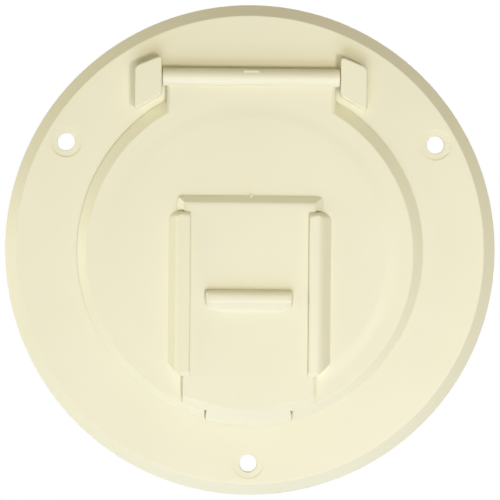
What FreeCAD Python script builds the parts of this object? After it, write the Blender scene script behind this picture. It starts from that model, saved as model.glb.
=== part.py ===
import FreeCAD, Part
import math
import os
import re
import Sketcher

# A round wall hatch for a power cord: a flange with a collar through the wall, a door hinged at its top,
# and a slide between two rails on the door, whose foot closes the notch that the cord leaves by.
# Lengths are millimetres. X runs across, Z runs up and the front faces -Y. The origin is the centre of
# the flange on the wall. A depth is a distance out from the wall, so its Y is negative.

# Each size: its name, its value and what it measures.
SIZES = [
    ("ring_diameter", 146.0, "outside of the wall flange"),
    ("rim_edge", 0.65, "straight edge of the flange at the wall"),
    ("rim_bevel", 3.35, "width and height of the flange's bevel"),
    ("rim_round", 0.5, "rounding between the flange's bevel and its face"),
    ("flange_wall", 2.2, "thickness of the hollow flange"),
    ("face_width", 24.5, "flange from its edge to the opening that the door covers"),
    ("collar_inset", 16.5, "outside of the collar in from the flange's edge"),
    ("collar_wall", 2.2, "thickness of the collar"),
    ("collar_length", 22.0, "reach of the collar behind the wall's face"),
    ("screw_inset", 9.5, "centres of the screw holes in from the flange's edge"),
    ("screw_hole", 5.2, "screw hole"),
    ("screw_seat", 9.2, "shallow seat for the screw's head"),
    ("seat_depth", 0.3, "depth of that seat"),
    ("screw_boss", 11.0, "boss behind each screw hole"),
    ("hinge_rise", 0.25, "hinge axis above the door's upper edge"),
    ("barrel_diameter", 5.3, "hinge barrel on the door"),
    ("barrel_length", 52.4, "hinge barrel from end to end"),
    ("barrel_gap", 0.35, "gap between the barrel's end and the lug"),
    ("pin_diameter", 3.0, "stub pin on each end of the barrel"),
    ("pin_length", 3.4, "stub pin beyond the barrel's end"),
    ("pin_play", 0.05, "clearance round the stub pin"),
    ("socket_spare", 0.5, "depth of the socket past the stub pin"),
    ("lug_width", 7.9, "hinge lug along the hinge axis"),
    ("lug_rise", 6.0, "hinge lug above the flange's face"),
    ("lug_above", 6.35, "lug's inner side above the hinge axis"),
    ("lug_below", 5.5, "lug's inner side below the hinge axis"),
    ("lug_top_fall", 3.2, "fall of the lug's top across its width"),
    ("lug_foot_fall", 4.6, "fall of the lug's foot across its width"),
    ("lug_corner", 1.2, "rounding of the lug's upright corners"),
    ("lug_edge", 0.9, "rounding round the lug's front"),
    ("door_lap", 3.0, "door's back edge beyond the opening"),
    ("door_drop", 0.5, "centre of the door below the flange's centre"),
    ("door_thickness", 2.7, "door from its back to its face"),
    ("door_bevel", 2.9, "mean width of the door's bevel"),
    ("face_drop", 0.8, "centre of the door's face below the door's centre"),
    ("door_round", 0.7, "rounding between the door's bevel and its face"),
    ("seat_gap", 0.3, "gap between the door and the flange's face"),
    ("tab_inset", 1.0, "side of the hinge tab inside the barrel's end"),
    ("crown_inset", 4.7, "foot of the door's raised middle in from the edge of its face"),
    ("crown_slope", 3.3, "width of the slope round the raised middle"),
    ("crown_rise", 0.2, "height of the raised middle"),
    ("skirt_play", 0.4, "gap between the door's skirt and the opening"),
    ("skirt_wall", 1.8, "thickness of the skirt behind the door"),
    ("skirt_length", 3.0, "reach of the skirt behind the door"),
    ("rail_top", 12.1, "upper end of the rails above the flange's centre"),
    ("rail_foot_rise", 14.3, "lower end of the rails above the door's lower edge"),
    ("rail_flat", 3.4, "flat front of a rail"),
    ("rail_slope", 3.3, "width of the slope on a rail's outside"),
    ("rail_lip", 2.0, "reach of the lip over the slide"),
    ("lip_thickness", 1.45, "lip over the slide"),
    ("lip_play", 0.2, "gap between the slide and the lip"),
    ("rail_top_bevel", 2.4, "bevel at the rail's upper end"),
    ("rail_foot_bevel", 1.6, "bevel at the rail's lower end"),
    ("rail_top_corner", 2.0, "corner cut off at the rail's upper end"),
    ("rail_foot_corner", 4.2, "corner cut off at the rail's lower end"),
    ("plate_width", 39.2, "slide under the lips"),
    ("plate_thickness", 2.2, "slide from its back to its face"),
    ("plate_play", 0.15, "gap between the slide and the door"),
    ("side_play", 0.3, "gap at each side of the slide"),
    ("head_reach", 2.1, "head of the slide beyond the slide's sides"),
    ("head_height", 4.1, "head of the slide above the rails"),
    ("head_gap", 0.1, "gap between the head and the rails' ends"),
    ("head_corner", 2.0, "rounding of the head's corners"),
    ("head_bevel", 2.1, "bevel along the head's top and ends"),
    ("gate_pip", 0.9, "pip left by the mould on the head's top"),
    ("slide_travel", 27.0, "travel of the slide"),
    ("foot_width", 25.4, "foot of the slide"),
    ("foot_height", 5.5, "foot of the slide in the notch"),
    ("foot_proud", 0.4, "foot beyond the door's edge"),
    ("notch_play", 0.4, "gap at each side of the foot"),
    ("notch_corner", 2.0, "rounding of the notch's upper corners"),
    ("stop_play", 0.2, "gap above the raised foot"),
    ("ridge_width", 25.8, "finger ridge across the slide"),
    ("ridge_drop", 28.0, "top of the ridge below the head's top"),
    ("ridge_rise", 3.0, "finger ridge above the slide's face"),
    ("ridge_front", 3.9, "finger ridge from its top to the edge of its slope"),
    ("ridge_slope", 2.5, "width of the slope under the ridge"),
    ("ridge_round", 2.4, "rounding of the ridge's upper edge"),
    ("ridge_end", 1.3, "bevel at each end of the ridge"),
    ("flat_width", 5.0, "flat that the mould leaves at the barrel's middle"),
    ("flat_foot", 0.85, "lower side of that flat above the hinge axis"),
    ("flat_depth", 0.8, "depth of that flat behind the barrel's front"),
]

# Places worked out from the sizes. Depths first, from the wall outwards.
RING_FACE = "(rim_edge + rim_bevel)"
DOOR_BACK = f"({RING_FACE} + seat_gap)"
DOOR_FACE = f"({DOOR_BACK} + door_thickness)"
CROWN_FACE = f"({DOOR_FACE} + crown_rise)"
AXIS_DEPTH = f"({DOOR_BACK} + barrel_diameter / 2)"
PLATE_BACK = f"({CROWN_FACE} + plate_play)"
PLATE_FACE = f"({PLATE_BACK} + plate_thickness)"
LIP_BACK = f"({PLATE_FACE} + lip_play)"
RAIL_FACE = f"({LIP_BACK} + lip_thickness)"
RIDGE_FACE = f"({PLATE_FACE} + ridge_rise)"

# Radii, from the flange's edge inwards.
SCREW_RADIUS = "(ring_diameter / 2 - screw_inset)"
COLLAR_RADIUS = "(ring_diameter / 2 - collar_inset)"
OPENING_RADIUS = "(ring_diameter / 2 - face_width)"
SKIRT_RADIUS = f"({OPENING_RADIUS} - skirt_play)"
DOOR_RADIUS = f"({OPENING_RADIUS} + door_lap)"
FACE_RADIUS = f"({DOOR_RADIUS} - door_bevel)"
CROWN_RADIUS = f"({FACE_RADIUS} - crown_inset)"
FOOT_RADIUS = f"({DOOR_RADIUS} + foot_proud)"

# Places across, from the middle outwards.
TAB_SIDE = "(barrel_length / 2 - tab_inset)"
LUG_INSIDE = "(barrel_length / 2 + barrel_gap)"
LUG_OUTSIDE = f"({LUG_INSIDE} + lug_width)"
CHANNEL_SIDE = "(plate_width / 2 + side_play)"
LIP_EDGE = "(plate_width / 2 - rail_lip)"
RAIL_SHOULDER = f"({LIP_EDGE} + rail_flat)"
RAIL_OUTSIDE = f"({RAIL_SHOULDER} + rail_slope)"
HEAD_SIDE = "(plate_width / 2 + head_reach)"
NOTCH_SIDE = "(foot_width / 2 + notch_play)"

# Places up and down, from the flange's centre.
HINGE_HEIGHT = f"({DOOR_RADIUS} - door_drop + hinge_rise)"
RAIL_FOOT = f"(rail_foot_rise - door_drop - {DOOR_RADIUS})"
HEAD_FOOT = "(rail_top + head_gap)"
HEAD_TOP = f"({HEAD_FOOT} + head_height)"
FOOT_TOP = f"(foot_height - door_drop - {FOOT_RADIUS})"
NOTCH_TOP = f"({FOOT_TOP} + slide_travel + stop_play)"
RIDGE_TOP = f"({HEAD_TOP} - ridge_drop)"

ALIASES = {name for name, size, note in SIZES}
NEAR = 0.01


def bound(text):
    """An expression on the sheet's cells, from one that uses the sizes' plain names."""
    return re.sub(r"[a-z_]+", lambda word: f"sizes.{word[0]}" if word[0] in ALIASES else word[0], text)


def length(text):
    """The value that an expression has now."""
    return float(sheet.evalExpression(text))


def origin_part(body, role):
    """One of the planes or axes of a body's own origin."""
    return next(part for part in body.Origin.OriginFeatures if part.Role == role)


def attach(item, body, role, offset):
    """Lays a sketch or primitive on a plane of the body's origin, offset along the plane's normal."""
    item.AttachmentSupport = [(origin_part(body, role), "")]
    item.MapMode = "FlatFace"
    item.setExpression("AttachmentOffset.Base.z", bound(offset))


def sketch_on(body, name, role, offset="0"):
    sketch = body.newObject("Sketcher::SketchObject", name)
    attach(sketch, body, role, offset)
    return sketch


def constrain(sketch, kind, places, text):
    index = sketch.addConstraint(Sketcher.Constraint(kind, *places, length(text)))
    sketch.setExpression(f"Constraints[{index}]", bound(text))


def draw_outline(sketch, corners):
    """A closed outline of straight lines. Each corner is a pair of expressions."""
    points = [FreeCAD.Vector(length(across), length(up), 0) for across, up in corners]
    count = len(points)
    for index, point in enumerate(points):
        sketch.addGeometry(Part.LineSegment(point, points[(index + 1) % count]), False)
    for index in range(count):
        sketch.addConstraint(Sketcher.Constraint("Coincident", index, 2, (index + 1) % count, 1))
    for index, (across, up) in enumerate(corners):
        constrain(sketch, "DistanceX", (-1, 1, index, 1), across)
        constrain(sketch, "DistanceY", (-1, 1, index, 1), up)


def draw_circle(sketch, across, up, diameter):
    centre = FreeCAD.Vector(length(across), length(up), 0)
    index = sketch.addGeometry(Part.Circle(centre, FreeCAD.Vector(0, 0, 1), length(diameter) / 2), False)
    constrain(sketch, "DistanceX", (-1, 1, index, 3), across)
    constrain(sketch, "DistanceY", (-1, 1, index, 3), up)
    constrain(sketch, "Diameter", (index,), diameter)


def add_feature(body, kind, name, adds):
    """A feature that has to add material to the body, or take some away."""
    feature = body.newObject(f"PartDesign::{kind}", name)
    expected.append((feature, adds))
    return feature


def pad(body, sketch, name, reach, reverse=False, both_ways=False):
    feature = add_feature(body, "Pad", name, True)
    feature.Profile = sketch
    feature.setExpression("Length", bound(reach))
    feature.Reversed = reverse
    if both_ways:
        feature.SideType = "Symmetric"
    doc.recompute()
    return feature


def pocket(body, sketch, name, reach, reverse=False, both_ways=False):
    feature = add_feature(body, "Pocket", name, False)
    feature.Profile = sketch
    feature.setExpression("Length", bound(reach))
    feature.Reversed = reverse
    if both_ways:
        feature.SideType = "Symmetric"
    doc.recompute()
    return feature


def turn(body, sketch, kind, name):
    """A revolution or a groove round the sketch's own upright axis."""
    feature = add_feature(body, kind, name, kind == "Revolution")
    feature.Profile = sketch
    feature.ReferenceAxis = (sketch, ["V_Axis"])
    feature.Angle = 360
    doc.recompute()
    return feature


def soften(body, name, radius, chosen):
    """Rounds the edges of the body's last feature that the test picks."""
    last = body.Tip
    edges = [f"Edge{index + 1}" for index, edge in enumerate(last.Shape.Edges) if chosen(edge)]
    feature = body.newObject("PartDesign::Fillet", name)
    feature.Base = (last, edges)
    feature.setExpression("Radius", bound(radius))
    doc.recompute()
    return feature


def mirror(body, name, originals):
    feature = body.newObject("PartDesign::Mirrored", name)
    feature.Originals = originals
    feature.MirrorPlane = (origin_part(body, "YZ_Plane"), [""])
    body.Tip = feature
    doc.recompute()
    return feature


def runs_along(edge, axis):
    """True for an edge that runs straight along one axis."""
    box = edge.BoundBox
    spans = {"x": box.XLength, "y": box.YLength, "z": box.ZLength}
    others = [span for name, span in spans.items() if name != axis]
    return spans[axis] > NEAR and max(others) < NEAR


def lies_at(edge, axis, place):
    """True for an edge that lies all in one plane across the axis."""
    box = edge.BoundBox
    low, high = {"x": (box.XMin, box.XMax), "y": (box.YMin, box.YMax), "z": (box.ZMin, box.ZMax)}[axis]
    return abs(low - place) < NEAR and abs(high - place) < NEAR


def depth_profile(body, name, corners, offset="0"):
    """A sketch of radius or width against depth, on a plane level with the wall's normal."""
    sketch = sketch_on(body, name, "XY_Plane", offset)
    draw_outline(sketch, [(across, f"-({depth})") for across, depth in corners])
    return sketch


def side_profile(body, name, corners, offset="0"):
    """A sketch of depth against height, seen along X."""
    sketch = sketch_on(body, name, "YZ_Plane", offset)
    draw_outline(sketch, [(f"-({depth})", up) for depth, up in corners])
    return sketch


def build_mounting_ring():
    """The wall flange with its collar, screw holes and hinge lugs."""
    body = doc.addObject("PartDesign::Body", "mounting_ring")
    rim_back = "ring_diameter / 2 - rim_bevel - flange_wall * tan(22.5 deg)"
    flange_back = f"{RING_FACE} - flange_wall"
    section = depth_profile(body, "flange_section", [
        ("ring_diameter / 2", "0"),
        ("ring_diameter / 2", "rim_edge"),
        ("ring_diameter / 2 - rim_bevel", RING_FACE),
        (OPENING_RADIUS, RING_FACE),
        (OPENING_RADIUS, flange_back),
        (f"{COLLAR_RADIUS} - collar_wall", flange_back),
        (f"{COLLAR_RADIUS} - collar_wall", "-collar_length"),
        (COLLAR_RADIUS, "-collar_length"),
        (COLLAR_RADIUS, flange_back),
        (rim_back, flange_back),
        (f"{rim_back} + {flange_back}", "0"),
    ])
    turn(body, section, "Revolution", "flange")
    widest = 2 * length(SCREW_RADIUS)
    soften(body, "rim_rounding", "rim_round",
           lambda edge: lies_at(edge, "y", -length(RING_FACE)) and edge.BoundBox.XLength > widest)
    add_hinge_lugs(body)
    add_screw_holes(body)
    return body


def add_hinge_lugs(body):
    """Two slanted lugs beside the barrel, each with a blind socket for the door's stub pin."""
    root = f"({RING_FACE} - flange_wall / 2)"
    front = f"({RING_FACE} + lug_rise)"
    for name, side in (("left", "-1"), ("right", "1")):
        outline = sketch_on(body, f"{name}_lug_outline", "XZ_Plane", root)
        draw_outline(outline, [
            (f"{side} * {LUG_INSIDE}", f"{HINGE_HEIGHT} + lug_above"),
            (f"{side} * {LUG_OUTSIDE}", f"{HINGE_HEIGHT} + lug_above - lug_top_fall"),
            (f"{side} * {LUG_OUTSIDE}", f"{HINGE_HEIGHT} - lug_below - lug_foot_fall"),
            (f"{side} * {LUG_INSIDE}", f"{HINGE_HEIGHT} - lug_below"),
        ])
        pad(body, outline, f"{name}_lug", f"{front} - {root}")
    soften(body, "lug_corners", "lug_corner",
           lambda edge: runs_along(edge, "y") and abs(edge.BoundBox.YMin + length(front)) < NEAR)
    soften(body, "lug_edges", "lug_edge", lambda edge: lies_at(edge, "y", -length(front)))
    for name, side, reverse in (("left", "-1", False), ("right", "1", True)):
        mouth = sketch_on(body, f"{name}_socket_mouth", "YZ_Plane", f"{side} * {LUG_INSIDE}")
        draw_circle(mouth, f"-{AXIS_DEPTH}", HINGE_HEIGHT, "pin_diameter + 2 * pin_play")
        pocket(body, mouth, f"{name}_socket", "pin_length - barrel_gap + socket_spare", reverse)


def add_screw_holes(body):
    """Three holes with a shallow seat in front and a boss behind, spaced evenly round the flange."""
    seat = sketch_on(body, "boss_outline", "XZ_Plane")
    draw_circle(seat, "0", f"-{SCREW_RADIUS}", "screw_boss")
    boss = pad(body, seat, "screw_boss", f"{RING_FACE} - flange_wall / 2")
    centre = sketch_on(body, "screw_centre", "XZ_Plane", RING_FACE)
    draw_circle(centre, "0", f"-{SCREW_RADIUS}", "screw_hole")
    hole = add_feature(body, "Hole", "screw_hole", False)
    hole.Profile = centre
    doc.recompute()
    hole.DepthType = "ThroughAll"
    hole.setExpression("Diameter", bound("screw_hole"))
    hole.HoleCutType = "Counterbore"
    hole.HoleCutCustomValues = True
    hole.setExpression("HoleCutDiameter", bound("screw_seat"))
    hole.setExpression("HoleCutDepth", bound("seat_depth"))
    doc.recompute()
    holes = body.newObject("PartDesign::PolarPattern", "screw_holes")
    holes.Originals = [boss, hole]
    holes.Axis = (origin_part(body, "Y_Axis"), [""])
    holes.Angle = 360
    holes.Occurrences = 3
    body.Tip = holes
    doc.recompute()


def build_door():
    """The round lid with its skirt, rails, cord notch, hinge barrel and stub pins."""
    body = doc.addObject("PartDesign::Body", "door")
    back = sketch_on(body, "back_outline", "XZ_Plane", DOOR_BACK)
    draw_circle(back, "0", "-door_drop", f"2 * {DOOR_RADIUS}")
    face = sketch_on(body, "face_outline", "XZ_Plane", DOOR_FACE)
    draw_circle(face, "0", "-door_drop - face_drop", f"2 * {FACE_RADIUS}")
    disc = add_feature(body, "AdditiveLoft", "disc", True)
    disc.Profile = back
    disc.Sections = [face]
    disc.Ruled = True
    doc.recompute()
    add_hinge(body)
    half = length(DOOR_RADIUS)
    soften(body, "face_rounding", "door_round",
           lambda edge: lies_at(edge, "y", -length(DOOR_FACE)) and edge.BoundBox.ZLength > half)
    crown = add_feature(body, "AdditiveCone", "crown", True)
    attach(crown, body, "XZ_Plane", DOOR_FACE)
    crown.setExpression("AttachmentOffset.Base.y", bound("-door_drop - face_drop"))
    crown.setExpression("Radius1", bound(CROWN_RADIUS))
    crown.setExpression("Radius2", bound(f"{CROWN_RADIUS} - crown_slope"))
    crown.setExpression("Height", bound("crown_rise"))
    doc.recompute()
    add_skirt(body)
    add_rails(body)
    add_cord_notch(body)
    return body


def add_skirt(body):
    """A ring behind the door that centres it in the flange's opening."""
    outline = sketch_on(body, "skirt_outline", "XZ_Plane", DOOR_BACK)
    draw_circle(outline, "0", "0", f"2 * {SKIRT_RADIUS}")
    draw_circle(outline, "0", "0", f"2 * ({SKIRT_RADIUS} - skirt_wall)")
    pad(body, outline, "skirt", "skirt_length", reverse=True)


def add_rails(body):
    """Two rails with a lip over the slide, a slope on the outside and bevelled ends."""
    base = f"({DOOR_BACK} + door_thickness / 2)"
    section = side_profile(body, "rail_side", [
        (base, "rail_top"),
        (f"{RAIL_FACE} - rail_top_bevel", "rail_top"),
        (RAIL_FACE, "rail_top - rail_top_bevel"),
        (RAIL_FACE, f"{RAIL_FOOT} + rail_foot_bevel"),
        (f"{RAIL_FACE} - rail_foot_bevel", RAIL_FOOT),
        (base, RAIL_FOOT),
    ], LIP_EDGE)
    rail = pad(body, section, "rail", f"{RAIL_OUTSIDE} - {LIP_EDGE}")
    slope = depth_profile(body, "flank_section", [
        (RAIL_SHOULDER, RAIL_FACE),
        (RAIL_OUTSIDE, RAIL_FACE),
        (RAIL_OUTSIDE, DOOR_FACE),
    ], "rail_top")
    flank = pocket(body, slope, "rail_flank", f"rail_top - {RAIL_FOOT}")
    groove = depth_profile(body, "channel_section", [
        (LIP_EDGE, CROWN_FACE),
        (LIP_EDGE, LIP_BACK),
        (CHANNEL_SIDE, LIP_BACK),
        (CHANNEL_SIDE, CROWN_FACE),
    ], "rail_top")
    channel = pocket(body, groove, "rail_channel", f"rail_top - {RAIL_FOOT}")
    ends = sketch_on(body, "rail_foot_cut", "XZ_Plane", RAIL_FACE)
    draw_outline(ends, [
        (RAIL_OUTSIDE, f"{RAIL_FOOT} + rail_foot_corner"),
        (RAIL_OUTSIDE, RAIL_FOOT),
        (f"{RAIL_OUTSIDE} - rail_foot_corner", RAIL_FOOT),
    ])
    foot = pocket(body, ends, "rail_foot", f"{RAIL_FACE} - {DOOR_FACE}")
    tops = sketch_on(body, "rail_top_cut", "XZ_Plane", RAIL_FACE)
    draw_outline(tops, [
        (RAIL_OUTSIDE, "rail_top - rail_top_corner"),
        (RAIL_OUTSIDE, "rail_top"),
        (f"{RAIL_OUTSIDE} - rail_top_corner", "rail_top"),
    ])
    top = pocket(body, tops, "rail_top", f"{RAIL_FACE} - {DOOR_FACE}")
    mirror(body, "rails", [rail, flank, channel, foot, top])


def add_cord_notch(body):
    """The slot from the door's lower rim up, where the slide's foot runs and the cord comes out."""
    outline = sketch_on(body, "notch_outline", "XZ_Plane", CROWN_FACE)
    draw_outline(outline, [
        (f"-{NOTCH_SIDE}", NOTCH_TOP),
        (NOTCH_SIDE, NOTCH_TOP),
        (NOTCH_SIDE, f"-2 * {DOOR_RADIUS}"),
        (f"-{NOTCH_SIDE}", f"-2 * {DOOR_RADIUS}"),
    ])
    pocket(body, outline, "cord_notch", f"{CROWN_FACE} - {DOOR_BACK} + skirt_length")
    soften(body, "notch_corners", "notch_corner",
           lambda edge: runs_along(edge, "y") and abs(edge.BoundBox.ZMax - length(NOTCH_TOP)) < NEAR)


def add_hinge(body):
    """The tab between the lugs with the barrel along its top and a stub pin at each end."""
    outline = sketch_on(body, "tab_outline", "XZ_Plane", DOOR_BACK)
    draw_outline(outline, [
        (f"-{TAB_SIDE}", HINGE_HEIGHT),
        (TAB_SIDE, HINGE_HEIGHT),
        (TAB_SIDE, f"{HINGE_HEIGHT} - {TAB_SIDE}"),
        (f"-{TAB_SIDE}", f"{HINGE_HEIGHT} - {TAB_SIDE}"),
    ])
    pad(body, outline, "tab", "door_thickness")
    section = sketch_on(body, "barrel_section", "YZ_Plane")
    draw_barrel(section)
    pad(body, section, "barrel", "barrel_length", both_ways=True)
    tips = sketch_on(body, "pin_section", "YZ_Plane")
    draw_circle(tips, f"-{AXIS_DEPTH}", HINGE_HEIGHT, "pin_diameter")
    pad(body, tips, "pins", "barrel_length + 2 * pin_length", both_ways=True)
    cut_barrel_flat(body)


def draw_barrel(sketch):
    """Three quarters of a circle, squared at the lower back where the barrel meets the door's back."""
    centre = FreeCAD.Vector(-length(AXIS_DEPTH), length(HINGE_HEIGHT), 0)
    radius = length("barrel_diameter / 2")
    top = centre + FreeCAD.Vector(radius, 0, 0)
    foot = centre - FreeCAD.Vector(0, radius, 0)
    corner = FreeCAD.Vector(top.x, foot.y, 0)
    circle = Part.Circle(centre, FreeCAD.Vector(0, 0, 1), radius)
    sketch.addGeometry(Part.ArcOfCircle(circle, 0, 1.5 * math.pi), False)
    sketch.addGeometry(Part.LineSegment(foot, corner), False)
    sketch.addGeometry(Part.LineSegment(corner, top), False)
    sketch.addConstraint(Sketcher.Constraint("Coincident", 0, 2, 1, 1))
    sketch.addConstraint(Sketcher.Constraint("Coincident", 1, 2, 2, 1))
    sketch.addConstraint(Sketcher.Constraint("Coincident", 2, 2, 0, 1))
    sketch.addConstraint(Sketcher.Constraint("Horizontal", 1))
    sketch.addConstraint(Sketcher.Constraint("Vertical", 2))
    constrain(sketch, "DistanceX", (-1, 1, 0, 3), f"-{AXIS_DEPTH}")
    constrain(sketch, "DistanceY", (-1, 1, 0, 3), HINGE_HEIGHT)
    constrain(sketch, "Radius", (0,), "barrel_diameter / 2")
    constrain(sketch, "DistanceX", (-1, 1, 0, 2), f"-{AXIS_DEPTH}")
    constrain(sketch, "DistanceY", (-1, 1, 0, 1), HINGE_HEIGHT)


def cut_barrel_flat(body):
    """The small flat that the mould leaves at the middle of the barrel."""
    floor = f"({AXIS_DEPTH} + barrel_diameter / 2 - flat_depth)"
    front = f"({AXIS_DEPTH} + barrel_diameter)"
    low = f"({HINGE_HEIGHT} + flat_foot)"
    high = f"({HINGE_HEIGHT} + barrel_diameter)"
    outline = side_profile(body, "barrel_flat_side", [
        (floor, low),
        (front, low),
        (front, high),
        (floor, high),
    ])
    pocket(body, outline, "barrel_flat", "flat_width", both_ways=True)


def build_cord_slide():
    """The plate between the rails, with a head over their ends, a finger ridge and a foot in the notch."""
    body = doc.addObject("PartDesign::Body", "cord_slide")
    below = f"(-door_drop - {FOOT_RADIUS} - plate_thickness)"
    outline = sketch_on(body, "plate_outline", "XZ_Plane", PLATE_BACK)
    draw_outline(outline, [
        (f"-{HEAD_SIDE}", HEAD_TOP),
        (HEAD_SIDE, HEAD_TOP),
        (HEAD_SIDE, HEAD_FOOT),
        ("plate_width / 2", HEAD_FOOT),
        ("plate_width / 2", below),
        ("-plate_width / 2", below),
        ("-plate_width / 2", HEAD_FOOT),
        (f"-{HEAD_SIDE}", HEAD_FOOT),
    ])
    pad(body, outline, "plate", "plate_thickness")
    soften(body, "head_corners", "head_corner",
           lambda edge: runs_along(edge, "y") and abs(edge.BoundBox.ZMax - length(HEAD_TOP)) < NEAR)
    block = sketch_on(body, "foot_outline", "XZ_Plane", DOOR_BACK)
    draw_outline(block, [
        ("-foot_width / 2", FOOT_TOP),
        ("foot_width / 2", FOOT_TOP),
        ("foot_width / 2", below),
        ("-foot_width / 2", below),
    ])
    pad(body, block, "foot", f"{PLATE_FACE} - {DOOR_BACK}")
    soften(body, "foot_corners", "notch_corner",
           lambda edge: runs_along(edge, "y") and abs(edge.BoundBox.ZMax - length(FOOT_TOP)) < NEAR)
    trim_foot(body)
    bevel_head(body)
    add_finger_ridge(body)
    return body


def trim_foot(body):
    """The slope that follows the door's rim, from the slide's face down to the flange."""
    margin = "foot_proud"
    slope = f"({PLATE_FACE} - {DOOR_BACK})"
    section = depth_profile(body, "rim_section", [
        (f"{FOOT_RADIUS} + {margin}", f"{DOOR_BACK} - {margin}"),
        (f"{FOOT_RADIUS} - {slope} - {margin}", f"{PLATE_FACE} + {margin}"),
        (f"2 * {DOOR_RADIUS}", f"{PLATE_FACE} + {margin}"),
        (f"2 * {DOOR_RADIUS}", f"{DOOR_BACK} - {margin}"),
    ], "-door_drop")
    turn(body, section, "Groove", "rim_slope")


def bevel_head(body):
    """The bevel along the head's top and ends, and the pip that the mould leaves on it."""
    pip = sketch_on(body, "pip_outline", "XZ_Plane", PLATE_BACK)
    draw_circle(pip, "0", HEAD_TOP, "gate_pip")
    pad(body, pip, "pip", "plate_thickness - head_bevel / 2")
    section = side_profile(body, "bevel_section", [
        (PLATE_FACE, f"{HEAD_TOP} - head_bevel"),
        (f"{PLATE_FACE} + head_bevel", f"{HEAD_TOP} - head_bevel"),
        (f"{PLATE_FACE} + head_bevel", f"{HEAD_TOP} + head_bevel"),
        (f"{PLATE_FACE} - 2 * head_bevel", f"{HEAD_TOP} + head_bevel"),
    ])
    pocket(body, section, "head_slope", f"4 * {HEAD_SIDE}", both_ways=True)
    bevel_ends(body, "head", HEAD_SIDE, PLATE_FACE, "head_bevel", HEAD_TOP, "head_height")


def bevel_ends(body, name, side, face, size, top, height):
    """A bevel on the front edge of both ends of a bar, from its top down."""
    section = depth_profile(body, f"{name}_end_section", [
        (f"{side} - {size}", face),
        (f"{side} - {size}", f"{face} + {size}"),
        (f"{side} + {size}", f"{face} + {size}"),
        (f"{side} + {size}", f"{face} - 2 * {size}"),
    ], top)
    mirror(body, f"{name}_ends", [pocket(body, section, f"{name}_end", height)])


def add_finger_ridge(body):
    """The ridge that a finger pushes: a rounded upper edge and a slope below."""
    lower = f"({RIDGE_TOP} - ridge_front)"
    base = f"({PLATE_BACK} + plate_thickness / 2)"
    section = side_profile(body, "ridge_section", [
        (base, RIDGE_TOP),
        (RIDGE_FACE, RIDGE_TOP),
        (RIDGE_FACE, lower),
        (PLATE_FACE, f"{lower} - ridge_slope"),
        (base, f"{lower} - ridge_slope"),
    ])
    pad(body, section, "ridge", "ridge_width", both_ways=True)
    soften(body, "ridge_rounding", "ridge_round",
           lambda edge: runs_along(edge, "x") and lies_at(edge, "y", -length(RIDGE_FACE))
           and lies_at(edge, "z", length(RIDGE_TOP)))
    bevel_ends(body, "ridge", "ridge_width / 2", RIDGE_FACE, "ridge_end", RIDGE_TOP,
               "ridge_front + ridge_slope")


def check_model():
    """Stops the build if a feature failed, did nothing or left a bad solid."""
    for item in doc.Objects:
        faults = [state for state in item.State if state in ("Invalid", "Error")]
        if faults:
            raise RuntimeError(f"{item.Name} is {faults}")
    for feature, adds in expected:
        before = feature.BaseFeature.Shape.Volume if feature.BaseFeature else 0
        change = feature.Shape.Volume - before
        if (change > 0) != adds or abs(change) < NEAR:
            raise RuntimeError(f"{feature.Name} changes the volume by {change}")
    for body in bodies:
        if body.Shape.isNull() or not body.Shape.isValid() or len(body.Shape.Solids) != 1:
            raise RuntimeError(f"{body.Label} is not one sound solid")


doc = FreeCAD.newDocument("cord_hatch")
sheet = doc.addObject("Spreadsheet::Sheet", "sizes")
for row, (name, size, note) in enumerate(SIZES, start=1):
    sheet.set(f"A{row}", name)
    sheet.set(f"B{row}", str(size))
    sheet.set(f"C{row}", note)
    sheet.setAlias(f"B{row}", name)
doc.recompute()

expected = []
bodies = [build_mounting_ring(), build_door(), build_cord_slide()]
doc.recompute()
check_model()

os.makedirs("parts", exist_ok=True)
for body in bodies:
    body.Shape.exportStep(f"parts/{body.Label}.step")
    print(f"{body.Label}: {body.Shape.Volume / 1000:.2f} cm3, {len(body.Shape.Faces)} faces")
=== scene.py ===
import math

import bmesh
import bpy
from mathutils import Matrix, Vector


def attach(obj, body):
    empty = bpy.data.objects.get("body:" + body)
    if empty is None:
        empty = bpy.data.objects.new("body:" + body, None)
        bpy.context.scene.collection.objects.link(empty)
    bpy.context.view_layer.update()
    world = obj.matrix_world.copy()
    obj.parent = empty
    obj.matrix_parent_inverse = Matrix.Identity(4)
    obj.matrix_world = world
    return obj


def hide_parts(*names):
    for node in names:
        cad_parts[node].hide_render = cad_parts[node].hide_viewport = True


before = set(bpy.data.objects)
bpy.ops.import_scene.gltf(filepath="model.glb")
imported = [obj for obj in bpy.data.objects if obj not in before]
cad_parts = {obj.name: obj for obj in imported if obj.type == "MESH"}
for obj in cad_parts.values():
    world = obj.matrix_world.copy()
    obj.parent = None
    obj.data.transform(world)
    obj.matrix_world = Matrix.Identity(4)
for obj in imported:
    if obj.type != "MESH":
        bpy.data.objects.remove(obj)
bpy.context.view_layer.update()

# A round wall hatch for a power cord, all moulded in one ivory plastic. Sizes are in millimetres.
# X runs across, Z runs up, and a depth is a distance out from the wall, towards -Y.
mm = 0.001
near = 0.02  # how close a point lies to a place that picks it
past = 1.0  # how far a tool reaches past the face that it cuts, or a form into what carries it
weld = 0.005  # points closer together than this become one
onPlane = 0.0002  # points closer to a cutting plane than this lie on it
smoothAngle = 35  # sharper edges than this stay sharp, in degrees
right, front, up = Vector((1, 0, 0)), Vector((0, -1, 0)), Vector((0, 0, 1))


def atPlace(x, out, z):
    return Vector((x * mm, -out * mm, z * mm))


def clearSelection():
    if bpy.context.mode != "OBJECT":
        bpy.ops.object.mode_set(mode="OBJECT")
    bpy.ops.object.select_all(action="DESELECT")


def activate(piece):
    clearSelection()
    piece.select_set(True)
    bpy.context.view_layer.objects.active = piece


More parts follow.
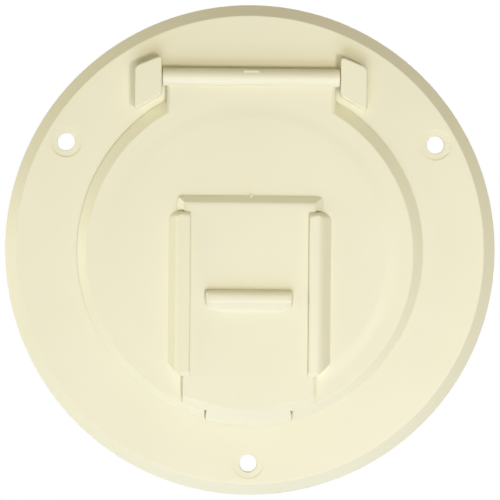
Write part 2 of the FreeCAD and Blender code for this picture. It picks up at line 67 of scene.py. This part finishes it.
def settle(name):
    # names the new object and puts its place, turn and size into its mesh
    piece = bpy.context.active_object
    piece.name = name
    piece.data.name = name
    bpy.ops.object.transform_apply(location=True, rotation=True, scale=True)
    return piece


def edit(piece):
    activate(piece)
    bpy.ops.object.mode_set(mode="EDIT")
    bpy.ops.mesh.select_all(action="DESELECT")


def leaveEdit():
    bpy.ops.object.mode_set(mode="OBJECT")


def pick(piece, kind, wanted):
    # selects the vertices, edges or faces that pass the test
    bpy.ops.mesh.select_mode(type=kind)
    bpy.ops.mesh.select_all(action="DESELECT")
    mesh = bmesh.from_edit_mesh(piece.data)
    group = {"VERT": mesh.verts, "EDGE": mesh.edges, "FACE": mesh.faces}[kind]
    for item in group:
        if wanted(item):
            item.select_set(True)
    bmesh.update_edit_mesh(piece.data)


# where a vertex lies, in millimetres

def across(vert):
    return vert.co.x / mm


def aside(vert):
    return abs(vert.co.x) / mm


def depth(vert):
    return -vert.co.y / mm


def height(vert):
    return vert.co.z / mm


# tests that pick edges and faces

def liesAt(item, measure, place):
    return all(abs(measure(vert) - place) < near for vert in item.verts)


def liesBeyond(item, measure, place):
    return all(measure(vert) > place for vert in item.verts)


def liesUnder(item, level):
    return all(height(vert) < level for vert in item.verts)


def isSharp(edge, least=20):
    return len(edge.link_faces) == 2 and edge.calc_face_angle() > math.radians(least)


def isRing(edge, radius, level, middle=(0, 0)):
    # an edge of a circle about a line that runs in depth
    return all(abs(math.hypot(across(vert) - middle[0], height(vert) - middle[1]) - radius) < near
               and abs(depth(vert) - level) < near for vert in edge.verts)


def runsInDepth(edge):
    a, b = edge.verts
    return abs(across(a) - across(b)) < near and abs(height(a) - height(b)) < near


# tools that make and shape a piece

def roundEdges(piece, wanted, rounding):
    # a rounding is a width and its steps
    width, steps = rounding
    pick(piece, "EDGE", wanted)
    bpy.ops.mesh.bevel(offset=width * mm, offset_type="OFFSET", segments=steps, profile=0.5,
                       affect="EDGES", clamp_overlap=True)


def soften(piece, *roundings):
    # rounds edges one set after another: each set is a test and a rounding
    edit(piece)
    for wanted, rounding in roundings:
        roundEdges(piece, wanted, rounding)
    leaveEdit()


def block(name, low, high):
    # a box between two corners, each across, depth, height
    a, b = atPlace(*low), atPlace(*high)
    clearSelection()
    size = b - a
    bpy.ops.mesh.primitive_cube_add(size=1, location=(a + b) / 2,
                                    scale=(abs(size.x), abs(size.y), abs(size.z)))
    return settle(name)


def rod(name, radius, length, level, tall, steps):
    # a round bar along X
    clearSelection()
    bpy.ops.mesh.primitive_cylinder_add(vertices=steps, radius=radius * mm, depth=length * mm,
                                        location=atPlace(0, level, tall),
                                        rotation=(0, math.pi / 2, 0))
    return settle(name)


def turned(name, loops, steps, middle=(0, 0), closed=False):
    # a body turned round the depth axis: each loop is a radius, a depth and its centre's drop
    clearSelection()
    radius, level, drop = loops[0]
    bpy.ops.mesh.primitive_circle_add(vertices=steps, radius=radius * mm, fill_type="NOTHING",
                                      location=atPlace(middle[0], level, middle[1] - drop),
                                      rotation=(math.pi / 2, 0, 0))
    piece = settle(name)
    bpy.ops.object.mode_set(mode="EDIT")
    bpy.ops.mesh.select_mode(type="EDGE")
    bpy.ops.mesh.select_all(action="SELECT")
    if not closed:
        bpy.ops.mesh.edge_face_add()
    following = loops[1:] + (loops[:1] if closed else [])
    for nextRadius, nextLevel, nextDrop in following:
        bpy.ops.mesh.extrude_edges_move(TRANSFORM_OT_translate={
            "value": (0, (level - nextLevel) * mm, (drop - nextDrop) * mm)})
        grow = nextRadius / radius
        bpy.ops.transform.resize(value=(grow, 1, grow), center_override=atPlace(
            middle[0], nextLevel, middle[1] - nextDrop))
        radius, level, drop = nextRadius, nextLevel, nextDrop
    if not closed:
        bpy.ops.mesh.edge_face_add()
    bpy.ops.mesh.select_all(action="SELECT")
    bpy.ops.mesh.remove_doubles(threshold=weld * mm)
    bpy.ops.mesh.normals_make_consistent(inside=False)
    leaveEdit()
    return piece


def splitPlane(point, normal):
    # draws a line round the open mesh where a plane meets it
    bpy.ops.mesh.select_all(action="SELECT")
    bpy.ops.mesh.bisect(plane_co=atPlace(*point), plane_no=normal)


def cutPlane(piece, point, normal):
    # takes away all that lies on the normal's side of a plane and closes the cut
    edit(piece)
    bpy.ops.mesh.select_all(action="SELECT")
    bpy.ops.mesh.bisect(plane_co=atPlace(*point), plane_no=Vector(normal).normalized(),
                        use_fill=True, clear_outer=True, threshold=onPlane * mm)
    leaveEdit()


def easeEdge(piece, point, first, second, radius, turns=(15, 30, 45, 60, 75)):
    # rounds the edge where two flat faces meet, with cuts that follow a curve from the first face
    # to the second; both directions face outwards and stand at right angles
    for turn in turns:
        away, along = math.cos(math.radians(turn)), math.sin(math.radians(turn))
        shift = (first * (away - 1) + second * (along - 1)) * radius
        cutPlane(piece, (point[0] + shift.x, point[1] - shift.y, point[2] + shift.z),
                 first * away + second * along)


def discard(tool):
    mesh = tool.data
    bpy.data.objects.remove(tool)
    bpy.data.meshes.remove(mesh)


def combine(piece, tool, operation, keepTool=False):
    activate(piece)
    change = piece.modifiers.new(operation.title(), "BOOLEAN")
    change.operation = operation
    change.solver = "EXACT"
    change.object = tool
    bpy.ops.object.modifier_apply(modifier=change.name)
    if not keepTool:
        discard(tool)


def mirrorAcross(piece):
    activate(piece)
    change = piece.modifiers.new("Mirror", "MIRROR")
    change.use_axis = (True, False, False)
    change.use_mirror_merge = False
    bpy.ops.object.modifier_apply(modifier=change.name)


def joinInto(piece, others):
    activate(piece)
    for other in others:
        other.select_set(True)
    bpy.ops.object.join()


def finishPiece(piece, material, node, body):
    activate(piece)
    bpy.ops.object.shade_smooth_by_angle(angle=math.radians(smoothAngle))
    weigh = piece.modifiers.new("Weighted", "WEIGHTED_NORMAL")
    weigh.mode = "FACE_AREA"
    weigh.keep_sharp = True
    bpy.ops.object.modifier_apply(modifier=weigh.name)
    piece.data.materials.clear()
    piece.data.materials.append(material)
    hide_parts(node)
    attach(piece, body)


# colours and nodes

def linear(code):
    # an sRGB hex colour as linear RGBA
    parts = [int(code[index:index + 2], 16) / 255 for index in (1, 3, 5)]
    return tuple(part / 12.92 if part <= 0.04045 else ((part + 0.055) / 1.055) ** 2.4
                 for part in parts) + (1,)


def addNode(tree, kind, settings=None, links=None):
    # one node, with values for its sockets or properties and the sockets that feed it
    node = tree.nodes.new(kind)
    for key, value in (settings or {}).items():
        if isinstance(key, int) or key in node.inputs:
            node.inputs[key].default_value = value
        else:
            setattr(node, key, value)
    for key, source in (links or {}).items():
        tree.links.new(source, node.inputs[key])
    return node


# the plastic, which all pieces share

plastic = {
    "colour": "#EAE7CB",
    "shade": "#E5E2C4",
    "roughness": 0.4,
    "ior": 1.45,
    "mottleSize": 26.0, "mottleDetail": 2.0,
    "grainSize": 0.35, "grainDetail": 3.0, "grainStrength": 0.5, "grainHeight": 0.004,
    "ripplesSize": 11.0, "ripplesDetail": 0.0, "ripplesStrength": 0.6, "ripplesHeight": 0.012,
}


def mouldedAbs():
    # injection moulded ABS: a satin skin, slightly uneven in tone, with a fine grain from the tool
    # and low ripples where the plastic shrank, which bend its soft highlights
    p = plastic
    material = bpy.data.materials.new("ivory_moulded_abs")
    material.use_nodes = True
    tree = material.node_tree
    tree.nodes.clear()
    place = addNode(tree, "ShaderNodeTexCoord")

    def noise(pattern):
        return addNode(tree, "ShaderNodeTexNoise",
                       {"Scale": 1 / (p[pattern + "Size"] * mm), "Detail": p[pattern + "Detail"]},
                       {"Vector": place.outputs["Object"]})

    tone = addNode(tree, "ShaderNodeMixRGB",
                   {"Color1": linear(p["shade"]), "Color2": linear(p["colour"])},
                   {"Fac": noise("mottle").outputs["Fac"]})
    fine = addNode(tree, "ShaderNodeBump",
                   {"Strength": p["grainStrength"], "Distance": p["grainHeight"] * mm},
                   {"Height": noise("grain").outputs["Fac"]})
    wavy = addNode(tree, "ShaderNodeBump",
                   {"Strength": p["ripplesStrength"], "Distance": p["ripplesHeight"] * mm},
                   {"Height": noise("ripples").outputs["Fac"], "Normal": fine.outputs["Normal"]})
    skin = addNode(tree, "ShaderNodeBsdfPrincipled", {"Roughness": p["roughness"], "IOR": p["ior"]},
                   {"Base Color": tone.outputs["Color"], "Normal": wavy.outputs["Normal"]})
    addNode(tree, "ShaderNodeOutputMaterial", None, {"Surface": skin.outputs["BSDF"]})
    return material


# the flange with its collar and screw holes

ring = {
    "steps": 240,
    "radius": 73.0, "edge": 0.65, "bevelFoot": 69.65, "face": 4.0, "rimRound": (0.22, 4),
    "opening": 48.5, "back": 1.8, "backRadius": 68.739,
    "collar": 56.5, "collarWall": 2.2, "collarLength": 22.0,
    "smallRound": (0.2, 3),
    "screwTurns": (30, 150, 270), "screwCircle": 63.5, "screwHole": 2.6, "holeStart": -2.0,
    "holeRound": (0.3, 3), "seat": 4.6, "seatFloor": 3.7, "seatRound": (0.15, 3), "holeSteps": 64,
    "boss": 5.5, "bossFront": 2.9, "bossSteps": 48,
}


def makeRing():
    r = ring
    inside = r["collar"] - r["collarWall"]
    piece = turned("mountingRing", [
        (r["radius"], 0, 0),
        (r["radius"], r["edge"], 0),
        (r["bevelFoot"], r["face"], 0),
        (r["opening"], r["face"], 0),
        (r["opening"], r["back"], 0),
        (inside, r["back"], 0),
        (inside, -r["collarLength"], 0),
        (r["collar"], -r["collarLength"], 0),
        (r["collar"], r["back"], 0),
        (r["backRadius"], r["back"], 0),
        (r["backRadius"] + r["back"], 0, 0),
    ], r["steps"], closed=True)
    corners = [
        (r["radius"], r["edge"]), (r["radius"], 0),
        (r["opening"], r["face"]), (r["opening"], r["back"]),
        (r["collar"], -r["collarLength"]), (inside, -r["collarLength"]),
    ]
    soften(piece,
           (lambda edge: isRing(edge, r["bevelFoot"], r["face"]), r["rimRound"]),
           (lambda edge: any(isRing(edge, *corner) for corner in corners), r["smallRound"]))
    for turn in r["screwTurns"]:
        angle = math.radians(turn)
        middle = (r["screwCircle"] * math.cos(angle), r["screwCircle"] * math.sin(angle))
        boss = turned("boss", [(r["boss"], 0, 0), (r["boss"], r["bossFront"], 0)],
                      r["bossSteps"], middle)
        combine(piece, boss, "UNION")
        drill = turned("drill", [
            (r["screwHole"], r["holeStart"], 0),
            (r["screwHole"], r["seatFloor"], 0),
            (r["seat"], r["seatFloor"], 0),
            (r["seat"], r["face"] + past, 0),
        ], r["holeSteps"], middle)
        combine(piece, drill, "DIFFERENCE")
        soften(piece,
               (lambda edge: isRing(edge, r["screwHole"], r["seatFloor"], middle), r["holeRound"]),
               (lambda edge: isRing(edge, r["seat"], r["face"], middle), r["seatRound"]))
    return piece


# the two hinge lugs, with a blind socket for a stub pin in each

lug = {
    "inside": 26.55, "outside": 34.45, "root": 2.9, "front": 10.0,
    "top": 57.6, "foot": 45.75, "topFall": 3.2, "footFall": 4.6,
    "corner": (1.3, 6), "edge": (0.95, 5),
    "socket": 1.55, "socketEnd": 30.1, "socketSteps": 48,
}


def makeLugs():
    g = lug
    piece = block("hingeLugs", (g["inside"], g["root"], g["foot"]),
                  (g["outside"], g["front"], g["top"]))
    edit(piece)
    for level, fall in ((g["top"], g["topFall"]), (g["foot"], g["footFall"])):
        pick(piece, "VERT", lambda vert: abs(across(vert) - g["outside"]) < near
             and abs(height(vert) - level) < near)
        bpy.ops.transform.translate(value=(0, 0, -fall * mm))
    roundEdges(piece, runsInDepth, g["corner"])
    roundEdges(piece, lambda edge: liesAt(edge, depth, g["front"]) and isSharp(edge), g["edge"])
    leaveEdit()
    socket = rod("socket", g["socket"], 2 * g["socketEnd"], barrel["depth"], barrel["height"],
                 g["socketSteps"])
    combine(piece, socket, "DIFFERENCE")
    mirrorAcross(piece)
    return piece


# the door, with the skirt behind it, its hinge tab and its cord notch

door = {
    "steps": 240,
    "radius": 51.5, "drop": 0.5, "back": 4.3, "backRound": (0.15, 2),
    "face": 7.0, "faceRadius": 48.6, "faceDrop": 1.3, "faceRound": (0.3, 4),
    "crownRadius": 43.9, "crownTop": 40.6, "crownFace": 7.2, "crownRound": (0.5, 2),
    "skirtOut": 48.1, "skirtIn": 46.3, "skirtRoot": 4.5, "skirtEnd": 1.3,
    "skirtRound": (0.3, 3),
    "tabSide": 25.2, "tabFoot": 26.0, "tabRound": (1.4, 4),
    "notchSide": 13.1, "notchTop": -19.7, "notchFoot": -80.0, "notchFront": 9.0,
    "notchRound": (2.0, 6),
}


def makeDoor():
    d = door
    faceMiddle = (0, -d["faceDrop"])
    piece = turned("door", [
        (d["radius"], d["back"], d["drop"]),
        (d["faceRadius"], d["face"], d["faceDrop"]),
        (d["crownRadius"], d["face"], d["faceDrop"]),
        (d["crownTop"], d["crownFace"], d["faceDrop"]),
    ], d["steps"])
    soften(piece,
           (lambda edge: isRing(edge, d["faceRadius"], d["face"], faceMiddle), d["faceRound"]),
           (lambda edge: isRing(edge, d["crownRadius"], d["face"], faceMiddle)
            or isRing(edge, d["crownTop"], d["crownFace"], faceMiddle), d["crownRound"]),
           (lambda edge: isRing(edge, d["radius"], d["back"], (0, -d["drop"])), d["backRound"]))
    tab = block("tab", (-d["tabSide"], d["back"], d["tabFoot"]),
                (d["tabSide"], d["face"], barrel["height"]))
    soften(tab, (lambda edge: liesAt(edge, aside, d["tabSide"]) and liesAt(edge, depth, d["face"]),
                 d["tabRound"]))
    combine(piece, tab, "UNION")
    skirt = turned("skirt", [
        (d["skirtOut"], d["skirtRoot"], 0),
        (d["skirtOut"], d["skirtEnd"], 0),
        (d["skirtIn"], d["skirtEnd"], 0),
        (d["skirtIn"], d["skirtRoot"], 0),
    ], d["steps"], closed=True)
    soften(skirt, (lambda edge: isRing(edge, d["skirtOut"], d["skirtEnd"])
                   or isRing(edge, d["skirtIn"], d["skirtEnd"]), d["skirtRound"]))
    notch = block("notch", (-d["notchSide"], 0, d["notchFoot"]),
                  (d["notchSide"], d["notchFront"], d["notchTop"]))
    soften(notch, (lambda edge: runsInDepth(edge) and liesAt(edge, height, d["notchTop"]),
                   d["notchRound"]))
    combine(piece, notch, "DIFFERENCE", keepTool=True)
    combine(skirt, notch, "DIFFERENCE")
    joinInto(piece, [skirt, makeBarrel(), makeRails()])
    return piece


# the hinge barrel, with a stub pin at each end, the flat mark that the mould leaves in its middle
# and the heel that joins it to the door

barrel = {
    "radius": 2.65, "side": 26.3, "depth": 6.95, "height": 51.25, "round": (0.25, 3), "steps": 72,
    "pin": 1.5, "pinSide": 29.6, "pinRound": (0.3, 2), "pinSteps": 40,
    "flatSide": 2.3, "flatFoot": 0.95, "flatTop": 1.95, "flatDepth": 2.15, "flatReach": 4.0,
    "heelInset": 0.4, "heelLift": 0.04,
}


def makeBarrel():
    b = barrel
    piece = rod("barrel", b["radius"], 2 * b["side"], b["depth"], b["height"], b["steps"])
    soften(piece, (lambda edge: liesAt(edge, aside, b["side"]) and isSharp(edge), b["round"]))
    flatStart = b["height"] + b["flatFoot"]
    flat = block("flat", (-b["flatSide"], b["depth"] + b["flatDepth"], flatStart),
                 (b["flatSide"], b["depth"] + b["flatReach"], b["height"] + b["flatReach"]))
    combine(piece, flat, "DIFFERENCE")
    pad = block("pad", (-b["flatSide"], b["depth"], flatStart),
                (b["flatSide"], b["depth"] + b["flatDepth"], b["height"] + b["flatTop"]))
    heelSide = b["side"] - b["heelInset"]
    heel = block("heel", (-heelSide, b["depth"] - b["radius"] + b["heelLift"],
                          b["height"] - b["radius"]), (heelSide, b["depth"], b["height"]))
    pins = rod("pins", b["pin"], 2 * b["pinSide"], b["depth"], b["height"], b["pinSteps"])
    soften(pins, (lambda edge: liesAt(edge, aside, b["pinSide"]) and isSharp(edge),
                  b["pinRound"]))
    combine(piece, pad, "UNION")
    joinInto(piece, [heel, pins])
    return piece


# the two rails, whose lips hold the slide

rail = {
    "lipEdge": 17.6, "channel": 19.9, "shoulder": 21.0, "outside": 24.3,
    "base": 5.65, "doorFace": 7.0, "lipBack": 9.75, "face": 11.2, "frontTilt": 8,
    "lipRound": (0.6, 5), "shoulderRound": (2.5, 10),
    "top": 11.65, "topCurve": 3.0, "topCornerCurve": 2.5,
    "foot": -37.7, "footBevel": 1.6, "footCorner": (4.2, 1), "footRound": (0.5, 4),
    "footZone": 5.0, "footSharp": 25,
}


def makeRails():
    r = rail
    piece = block("rails", (r["channel"], r["base"], r["foot"]),
                  (r["outside"], r["face"], r["top"]))
    edit(piece)
    splitPlane((0, r["lipBack"], 0), front)
    pick(piece, "FACE", lambda face: liesAt(face, across, r["channel"])
         and liesBeyond(face, depth, r["lipBack"] - near))
    bpy.ops.mesh.extrude_region_move(TRANSFORM_OT_translate={
        "value": ((r["lipEdge"] - r["channel"]) * mm, 0, 0)})
    roundEdges(piece, lambda edge: runsInDepth(edge) and liesAt(edge, across, r["outside"])
               and liesAt(edge, height, r["foot"]), r["footCorner"])
    leaveEdit()
    flank = Vector((r["face"] - r["doorFace"], r["shoulder"] - r["outside"], 0)).normalized()
    cutPlane(piece, (r["shoulder"], r["face"], 0), flank)
    tilt = math.radians(r["frontTilt"])
    cutPlane(piece, (r["lipEdge"], r["face"], 0), front * math.cos(tilt) + right * math.sin(tilt))
    soften(piece,
           (lambda edge: isSharp(edge) and liesBeyond(edge, depth, r["lipBack"] + near)
            and liesBeyond(edge, across, r["shoulder"])
            and abs(height(edge.verts[0]) - height(edge.verts[1])) > r["top"],
            r["shoulderRound"]),
           (lambda edge: liesAt(edge, across, r["lipEdge"]) and liesAt(edge, depth, r["face"]),
            r["lipRound"]))
    easeEdge(piece, (r["outside"], 0, r["top"]), right, up, r["topCornerCurve"])
    easeEdge(piece, (0, r["face"], r["top"]), front, up, r["topCurve"])
    easeEdge(piece, (r["shoulder"], r["face"], r["top"]), flank, up, r["topCurve"])
    cutPlane(piece, (0, r["face"], r["foot"] + r["footBevel"]), front - up)
    soften(piece, (lambda edge: isSharp(edge, r["footSharp"]) and not runsInDepth(edge)
                   and not liesAt(edge, depth, r["base"])
                   and liesUnder(edge, r["foot"] + r["footZone"]), r["footRound"]))
    mirrorAcross(piece)
    return piece


# the slide, with its head, the foot that closes the notch and a pip that the mould leaves on top

slide = {
    "side": 19.6, "back": 7.35, "face": 9.55, "top": 16.1,
    "headFoot": 11.75, "headSide": 21.7, "headCorner": (2.6, 8),
    "headCurve": 2.4, "headEase": 0.91, "headTurns": (7, 14, 21, 28, 35, 42),
    "footSide": 12.7, "footTop": -46.9, "footEnd": -60.0, "footBack": 4.3, "footSunk": 0.3,
    "footRound": (2.0, 6),
    "rimRadius": 51.9, "rimDrop": 0.5, "rimRound": (1.6, 5), "rimZone": -40.0, "steps": 240,
    "pip": 0.45, "pipAcross": 0.3, "pipSunk": 0.15, "pipLength": 0.9, "pipSteps": 24,
}


def makeSlide():
    s = slide
    piece = block("cordSlide", (-s["side"], s["back"], s["footEnd"]),
                  (s["side"], s["face"], s["top"]))
    edit(piece)
    splitPlane((0, 0, s["headFoot"]), up)
    for way in (-1, 1):
        pick(piece, "FACE", lambda face: liesAt(face, across, way * s["side"])
             and liesBeyond(face, height, s["headFoot"] - near))
        bpy.ops.mesh.extrude_region_move(TRANSFORM_OT_translate={
            "value": (way * (s["headSide"] - s["side"]) * mm, 0, 0)})
    roundEdges(piece, lambda edge: runsInDepth(edge) and liesAt(edge, height, s["top"])
               and isSharp(edge), s["headCorner"])
    leaveEdit()
    headEnd = s["headSide"] - s["headEase"]
    for point, outwards in (((0, s["face"], s["top"] - s["headEase"]), up),
                            ((headEnd, s["face"], 0), right), ((-headEnd, s["face"], 0), -right)):
        easeEdge(piece, point, front, outwards, s["headCurve"], s["headTurns"])
    foot = block("foot", (-s["footSide"], s["footBack"], s["footEnd"]),
                 (s["footSide"], s["face"] - s["footSunk"], s["footTop"]))
    soften(foot, (lambda edge: runsInDepth(edge) and liesAt(edge, height, s["footTop"]),
                  s["footRound"]))
    combine(piece, foot, "UNION")
    slope = s["face"] - s["footBack"]
    rim = turned("rim", [
        (s["rimRadius"] + past, s["footBack"] - past, s["rimDrop"]),
        (s["rimRadius"] - slope - past, s["face"] + past, s["rimDrop"]),
    ], s["steps"])
    combine(piece, rim, "INTERSECT")
    soften(piece, (lambda edge: isSharp(edge) and liesAt(edge, depth, s["face"])
                   and liesUnder(edge, s["rimZone"]), s["rimRound"]))
    pip = turned("pip", [(s["pip"], s["back"], 0), (s["pip"], s["back"] + s["pipLength"], 0)],
                 s["pipSteps"], (s["pipAcross"], s["top"] - s["pipSunk"]))
    joinInto(piece, [makeRidge(), pip])
    return piece


# the finger ridge: a steep rounded top, a front, and a slope below that runs out into the slide

ridge = {
    "side": 12.9, "top": -11.7, "edge": -15.6, "foot": -17.4, "front": 12.55, "runOut": 4.0,
    "tilt": 82, "topCurve": 2.3, "topTurns": (10, 20, 30, 40, 50, 60, 70),
    "brow": (0.8, 6), "fillet": (1.5, 8),
    "slopeCurve": 1.3, "endCurve": 1.2, "cornerCurve": 1.3,
}


def makeRidge():
    g = ridge
    base = slide["face"]
    piece = block("ridge", (-g["side"], base - past, g["foot"] - g["runOut"]),
                  (g["side"], g["front"], g["top"]))
    edit(piece)
    for level in (g["edge"], g["foot"]):
        splitPlane((0, 0, level), up)
    pick(piece, "VERT", lambda vert: abs(depth(vert) - g["front"]) < near
         and height(vert) < g["foot"] + near)
    bpy.ops.transform.translate(value=(0, (g["front"] - base - near) * mm, 0))
    roundEdges(piece, lambda edge: liesAt(edge, depth, base + near)
               and liesAt(edge, height, g["foot"]), g["fillet"])
    roundEdges(piece, lambda edge: liesAt(edge, depth, g["front"])
               and liesAt(edge, height, g["edge"]), g["brow"])
    leaveEdit()
    tilt = math.radians(g["tilt"])
    cutPlane(piece, (0, base, g["top"]), front * math.cos(tilt) + up * math.sin(tilt))
    # the top's rounding touches both the front and the tilted wall
    rise = g["front"] - g["topCurve"] - base
    drop = g["topCurve"] - (g["topCurve"] + rise * math.cos(tilt)) / math.sin(tilt)
    easeEdge(piece, (0, g["front"], g["top"] + drop), front, up, g["topCurve"], g["topTurns"])
    slope = (front * (g["edge"] - g["foot"]) - up * (g["front"] - base)).normalized()
    for side in (-right, right):
        end = side.x * g["side"]
        easeEdge(piece, (end, g["front"], g["edge"]), slope, side, g["slopeCurve"])
        easeEdge(piece, (end, g["front"], 0), front, side, g["endCurve"])
        easeEdge(piece, (end, 0, g["top"]), side, up, g["cornerCurve"])
    return piece


# build

ivory = mouldedAbs()
print("plastic ready")
finishPiece(makeRing(), ivory, "mounting_ring", "ring")
finishPiece(makeLugs(), ivory, "mounting_ring", "ring")
print("flange ready")
finishPiece(makeDoor(), ivory, "door", "door")
print("door ready")
finishPiece(makeSlide(), ivory, "cord_slide", "slide")
print("slide ready")


# floor, world and camera: the floor's drop and size, the camera's distance and its clip are in
# metres, and what it sees is in millimetres

studio = {
    "floorColour": "#EDEDEB", "floorRoughness": 0.8, "floorShown": 0.75,
    "floorDrop": 1.6, "floorSize": 30.0,
    "ambient": 0.345, "ambientColour": "#FFF3D7",
    "cameraAway": 1.5, "viewWidth": 148.8, "viewDepth": 4.0, "roll": 0.5,
    "middleAcross": 0.05, "middleHeight": -0.03, "sensor": 36, "clip": (0.05, 50),
}


def makeFloor():
    # matt and pale: the camera sees its colour mostly as it is written, with soft shadows on it
    s = studio
    clearSelection()
    bpy.ops.mesh.primitive_plane_add(size=s["floorSize"], location=(0, 0, -s["floorDrop"]))
    floor = settle("floor")
    pale = bpy.data.materials.new("pale_matt_floor")
    pale.use_nodes = True
    tree = pale.node_tree
    tree.nodes.clear()
    colour = linear(s["floorColour"])
    path = addNode(tree, "ShaderNodeLightPath")
    shown = addNode(tree, "ShaderNodeMath", {"operation": "MULTIPLY", 1: s["floorShown"]},
                    {0: path.outputs["Is Camera Ray"]})
    paint = addNode(tree, "ShaderNodeBsdfPrincipled",
                    {"Base Color": colour, "Roughness": s["floorRoughness"]})
    plain = addNode(tree, "ShaderNodeEmission", {"Color": colour, "Strength": 1.0})
    blend = addNode(tree, "ShaderNodeMixShader", None, {
        "Fac": shown.outputs["Value"], 1: paint.outputs["BSDF"], 2: plain.outputs["Emission"]})
    addNode(tree, "ShaderNodeOutputMaterial", None, {"Surface": blend.outputs["Shader"]})
    floor.data.materials.append(pale)


def makeWorld():
    # plain white to the camera and in reflections, and a soft warm fill for all other light
    s = studio
    world = bpy.data.worlds.new("studio")
    bpy.context.scene.world = world
    world.use_nodes = True
    tree = world.node_tree
    tree.nodes.clear()
    path = addNode(tree, "ShaderNodeLightPath")
    seen = addNode(tree, "ShaderNodeBackground", {"Color": (1, 1, 1, 1), "Strength": 1.0})
    fill = addNode(tree, "ShaderNodeBackground",
                   {"Color": linear(s["ambientColour"]), "Strength": s["ambient"]})
    direct = addNode(tree, "ShaderNodeMath", {"operation": "MAXIMUM"}, {
        0: path.outputs["Is Camera Ray"], 1: path.outputs["Is Transmission Ray"]})
    mirrored = addNode(tree, "ShaderNodeMath", {"operation": "MAXIMUM"}, {
        0: direct.outputs["Value"], 1: path.outputs["Is Glossy Ray"]})
    both = addNode(tree, "ShaderNodeMixShader", None, {
        "Fac": mirrored.outputs["Value"], 1: fill.outputs["Background"],
        2: seen.outputs["Background"]})
    addNode(tree, "ShaderNodeOutputWorld", None, {"Surface": both.outputs["Shader"]})


def addCamera():
    s = studio
    lens = bpy.data.cameras.new("camera")
    lens.sensor_width = s["sensor"]
    lens.lens = s["sensor"] * (s["cameraAway"] - s["viewDepth"] * mm) / (s["viewWidth"] * mm)
    lens.clip_start, lens.clip_end = s["clip"]
    eye = bpy.data.objects.new("camera", lens)
    eye.location = (s["middleAcross"] * mm, -s["cameraAway"], s["middleHeight"] * mm)
    eye.rotation_euler = (math.pi / 2, -math.radians(s["roll"]), 0)
    bpy.context.scene.collection.objects.link(eye)
    bpy.context.scene.camera = eye


# each lamp: its turn round the depth axis from the right and its rise from the wall in degrees,
# its distance and side in metres, and its watts
lamps = {
    "lowPanel": {"turn": 270, "rise": 38, "away": 1.2, "side": 1.0, "power": 7.7,
                 "colour": "#C0D0FF"},
    "frontPanel": {"turn": 270, "rise": 65, "away": 1.2, "side": 0.6, "power": 3.4,
                   "colour": "#FFFFF8"},
    "leftPanel": {"turn": 180, "rise": 8, "away": 1.2, "side": 0.45, "power": 4.1,
                  "colour": "#FFFCE7"},
    "frontKey": {"turn": 328, "rise": 71, "away": 0.9, "side": 0.12, "power": 2.5,
                 "colour": "#FFF7EC"},
    "backPanel": {"turn": 60, "rise": -55, "away": 1.2, "side": 0.6, "power": 7.0,
                  "colour": "#E6ECFF"},
    "backFill": {"turn": 200, "rise": -35, "away": 1.2, "side": 0.6, "power": 4.0,
                 "colour": "#E6ECFF"},
}


def addLamp(name, settings):
    lamp = bpy.data.lights.new(name, "AREA")
    lamp.shape = "SQUARE"
    lamp.size = settings["side"]
    lamp.energy = settings["power"]
    lamp.color = linear(settings["colour"])[:3]
    holder = bpy.data.objects.new(name, lamp)
    turn, rise = math.radians(settings["turn"]), math.radians(settings["rise"])
    holder.location = settings["away"] * Vector((
        math.cos(rise) * math.cos(turn), -math.sin(rise), math.cos(rise) * math.sin(turn)))
    holder.rotation_euler = (-holder.location).to_track_quat("-Z", "Y").to_euler()
    bpy.context.scene.collection.objects.link(holder)


makeFloor()
makeWorld()
for name, settings in lamps.items():
    addLamp(name, settings)
addCamera()
bpy.context.scene.view_settings.view_transform = "Standard"
print("studio ready")

clearSelection()
